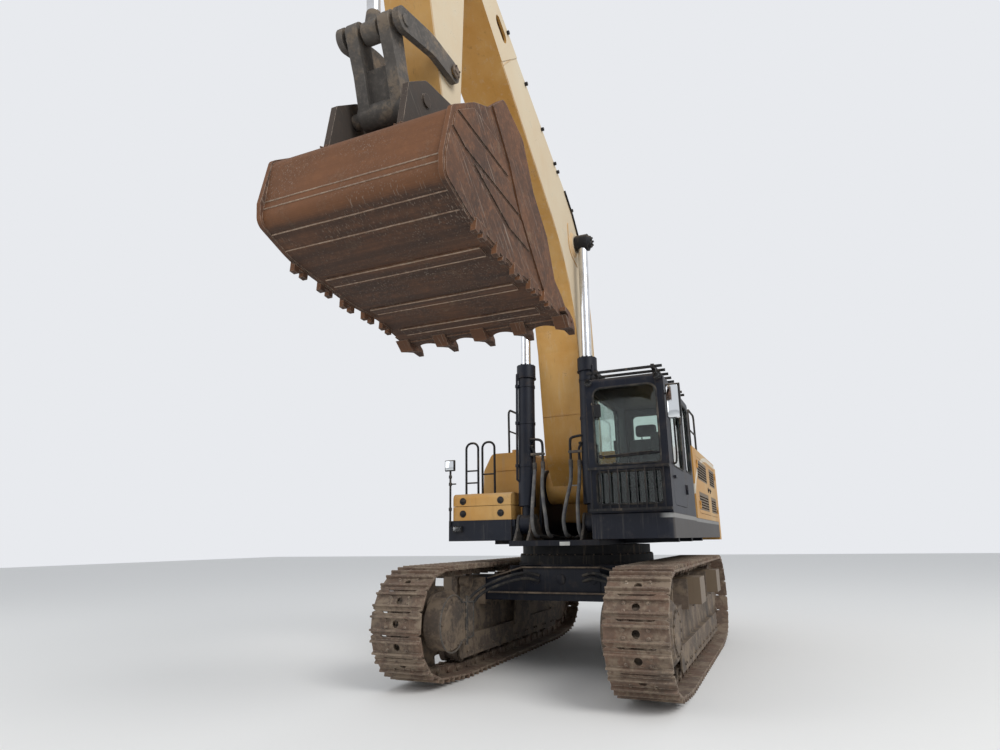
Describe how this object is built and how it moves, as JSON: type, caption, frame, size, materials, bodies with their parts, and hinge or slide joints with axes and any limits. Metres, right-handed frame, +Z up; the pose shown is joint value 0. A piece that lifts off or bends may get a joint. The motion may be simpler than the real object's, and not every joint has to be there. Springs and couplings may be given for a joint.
{
  "type": "crawler excavator",
  "caption": "Crawler excavator on tracks, boom raised, arm upright and bucket curled, with cab, toolbox, tank and long engine hood.",
  "frame": {"origin": "on the ground, in the middle of the bounding box seen from above; the swing axis stands 0.97 m behind it", "axes": "-Y is the machine's front, +X its left side with the cab, +Z up"},
  "size_m": [3.612, 10.2412, 9.3728],
  "materials": {
    "ochre": "golden beige enamel, dusty and chalked",
    "navy": "dark navy enamel, dusty",
    "dusty": "steel covered with dried pale mud and rust",
    "rust": "worn steel, rusty brown",
    "chrome": "polished cylinder rod",
    "steel": "steel pipe, dusty",
    "cast": "engine block in plain grey",
    "black": "matt black, dusty",
    "rubber": "hose in grey sleeve",
    "glass": "greenish glass",
    "fabric": "dark seat cover"
  },
  "bodies": {
    "undercarriage": {"carbody": "navy", "swing_ring": "black", "track_frames": "dusty", "rollers": "dusty", "track_left": "dusty", "track_right": "dusty", "sprockets": "dusty", "idlers": "dusty", "travel_motors": "dusty"},
    "upper": {"upper_frame": "navy", "counterweight": "ochre", "engine": "cast", "hood": "ochre", "tanks": "ochre", "toolbox": "ochre", "skirts": "navy", "cab_shell": "navy", "cab_glass": "glass", "cab_guard": "black", "cab_seat": "fabric", "handrails": "black", "lamps": "black", "mirrors": "black", "hydraulic_hoses": "rubber", "cylinder_feet": "navy", "exhaust": "rust"},
    "cab_door": {"cab_door": "navy", "door_glass": "glass"},
    "toolbox_lid": {"toolbox_lid": "ochre"},
    "hood_lid": {"hood_lid": "ochre"},
    "side_door_front": {"side_door_front": "ochre"},
    "side_door_rear": {"side_door_rear": "ochre"},
    "pump_door": {"pump_door": "ochre"},
    "boom": {"boom": "ochre", "boom_pipes": "steel"},
    "boom_barrels": {"boom_barrels": "navy"},
    "boom_rods": {"boom_rods": "chrome"},
    "arm": {"arm": "ochre", "arm_brackets": "ochre"},
    "arm_barrel": {"arm_barrel": "navy"},
    "arm_rod": {"arm_rod": "chrome"},
    "bucket_barrel": {"bucket_barrel": "navy"},
    "bucket_rod": {"bucket_rod": "chrome"},
    "side_links": {"side_links": "dusty"},
    "tipping_link": {"tipping_link": "dusty"},
    "bucket": {"bucket_shell": "rust", "bucket_teeth": "rust"}
  },
  "joints": [
    {"name": "swing", "type": "hinge", "parent": "undercarriage", "child": "upper", "pos_m": [0, 0.97, 1.58], "axis": [0, 0, 1], "continuous": true},
    {"name": "boom_pivot", "type": "hinge", "parent": "upper", "child": "boom", "pos_m": [0, 0.72, 2.42], "axis": [-1, 0, 0], "range_deg": [-80, 8]},
    {"name": "boom_barrels_pivot", "type": "hinge", "parent": "upper", "child": "boom_barrels", "pos_m": [0, -0.21, 1.87], "axis": [-1, 0, 0], "range_deg": [-84, 8.9]},
    {"name": "boom_rods_slide", "type": "slide", "parent": "boom_barrels", "child": "boom_rods", "axis": [0, 0.0446, 0.999], "range_m": [-1.385, 0.148]},
    {"name": "arm_pivot", "type": "hinge", "parent": "boom", "child": "arm", "pos_m": [0, -3.7334, 8.3299], "axis": [-1, 0, 0], "range_deg": [-2, 110]},
    {"name": "arm_barrel_pivot", "type": "hinge", "parent": "boom", "child": "arm_barrel", "pos_m": [0, -0.0863, 6.9462], "axis": [-1, 0, 0], "range_deg": [-2.5, 0.6]},
    {"name": "arm_rod_slide", "type": "slide", "parent": "arm_barrel", "child": "arm_rod", "axis": [0, -0.8679, 0.4968], "range_m": [-1.606, 0.04]},
    {"name": "bucket_pivot", "type": "hinge", "parent": "arm", "child": "bucket", "pos_m": [0, -3.8045, 5.4208], "axis": [-1, 0, 0], "range_deg": [-72, 55]},
    {"name": "side_links_pivot", "type": "hinge", "parent": "arm", "child": "side_links", "pos_m": [0, -3.8945, 6.1202], "axis": [-1, 0, 0], "range_deg": [-56.7, 43.4]},
    {"name": "tipping_link_pivot", "type": "hinge", "parent": "side_links", "child": "tipping_link", "pos_m": [0, -4.7844, 5.9699], "axis": [-1, 0, 0], "range_deg": [-37, 48.3]},
    {"name": "bucket_barrel_pivot", "type": "hinge", "parent": "arm", "child": "bucket_barrel", "pos_m": [0, -4.9745, 8.7103], "axis": [-1, 0, 0], "range_deg": [-8.3, 6.5]},
    {"name": "bucket_rod_slide", "type": "slide", "parent": "bucket_barrel", "child": "bucket_rod", "axis": [0, 0.0692, -0.9976], "range_m": [-0.575, 0.749]},
    {"name": "cab_door_hinge", "type": "hinge", "parent": "upper", "child": "cab_door", "pos_m": [1.684, -0.037, 2.7], "axis": [0, 0, 1], "range_deg": [0, 150]},
    {"name": "toolbox_lid_hinge", "type": "hinge", "parent": "upper", "child": "toolbox_lid", "pos_m": [0, 0.054, 2.324], "axis": [-1, 0, 0], "range_deg": [0, 80]},
    {"name": "hood_lid_hinge", "type": "hinge", "parent": "upper", "child": "hood_lid", "pos_m": [0, 3.984, 3.014], "axis": [-1, 0, 0], "range_deg": [0, 70]},
    {"name": "side_door_front_hinge", "type": "hinge", "parent": "upper", "child": "side_door_front", "pos_m": [1.634, 1.667, 2.45], "axis": [0, 0, -1], "range_deg": [0, 110]},
    {"name": "side_door_rear_hinge", "type": "hinge", "parent": "upper", "child": "side_door_rear", "pos_m": [1.634, 4.253, 2.45], "axis": [0, 0, 1], "range_deg": [0, 110]},
    {"name": "pump_door_hinge", "type": "hinge", "parent": "upper", "child": "pump_door", "pos_m": [-1.634, 4.173, 2.45], "axis": [0, 0, -1], "range_deg": [0, 110]}
  ],
  "couplings": [
    {"joint": "boom_barrels_pivot", "follows": "boom_pivot", "ratio": 1.0434},
    {"joint": "boom_rods_slide", "follows": "boom_pivot", "m_per_rad": 0.98413},
    {"joint": "arm_barrel_pivot", "follows": "arm_pivot", "ratio": -0.01792},
    {"joint": "arm_rod_slide", "follows": "arm_pivot", "m_per_rad": -0.83097},
    {"joint": "side_links_pivot", "follows": "bucket_pivot", "ratio": 0.77926},
    {"joint": "tipping_link_pivot", "follows": "bucket_pivot", "ratio": -0.66316},
    {"joint": "bucket_barrel_pivot", "follows": "bucket_pivot", "ratio": 0.10779},
    {"joint": "bucket_rod_slide", "follows": "bucket_pivot", "m_per_rad": -0.58762}
  ]
}
